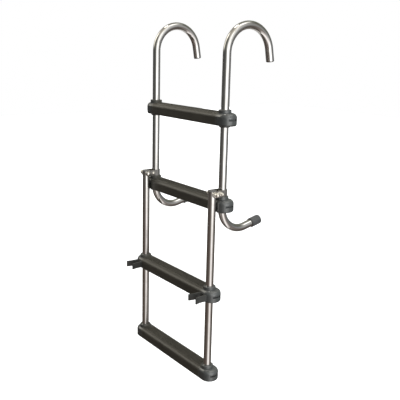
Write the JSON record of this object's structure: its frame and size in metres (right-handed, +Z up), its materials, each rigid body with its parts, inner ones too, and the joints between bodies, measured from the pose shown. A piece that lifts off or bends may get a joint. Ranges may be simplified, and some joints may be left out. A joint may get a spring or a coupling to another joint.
{
  "type": "boat boarding ladder",
  "caption": "Folding boat boarding ladder with hooked tube rails, bent standoffs, plastic treads and a lower section that swings up and clips to the upper rails.",
  "frame": {"origin": "midway between the two hooks, on the line through the centres of their bends", "axes": "+X along the treads, +Y towards the hull, +Z up"},
  "size_m": [0.394, 0.256, 0.992],
  "materials": {
    "polished_tube": "mirror-polished stainless steel tube",
    "polished_strap": "polished stainless steel strip",
    "fastener_steel": "bright stainless fasteners",
    "tread_plastic": "charcoal moulded plastic with a fine grain",
    "clip_plastic": "charcoal moulded plastic, slightly glossy",
    "plug_plastic": "grey moulded plastic",
    "cap_rubber": "dark grey rubber"
  },
  "bodies": {
    "upper_section": {"left_upper_rail": "polished_tube", "right_upper_rail": "polished_tube", "left_hook_plug": "clip_plastic", "right_hook_plug": "clip_plastic", "left_standoff_cap": "cap_rubber", "right_standoff_cap": "cap_rubber", "tread_1": "tread_plastic", "tread_2": "tread_plastic", "left_hinge_strap": "polished_strap", "right_hinge_strap": "polished_strap", "pivot_bolts": "fastener_steel", "pivot_cap_nuts": "fastener_steel", "clamp_bolts": "fastener_steel", "clamp_cap_nuts": "fastener_steel", "upper_tread_screws": "fastener_steel"},
    "lower_section": {"left_lower_rail": "polished_tube", "right_lower_rail": "polished_tube", "left_rail_plug": "plug_plastic", "right_rail_plug": "plug_plastic", "left_pivot_sleeve": "fastener_steel", "right_pivot_sleeve": "fastener_steel", "tread_3": "tread_plastic", "tread_4": "tread_plastic", "left_stow_clip": "clip_plastic", "right_stow_clip": "clip_plastic", "stow_clip_screws": "fastener_steel", "lower_tread_screws": "fastener_steel"}
  },
  "joints": [
    {"name": "lower_section_fold", "type": "hinge", "parent": "upper_section", "child": "lower_section", "pos_m": [0, -0.108, -0.3665], "axis": [-1, 0, 0], "range_deg": [0, 180]}
  ]
}
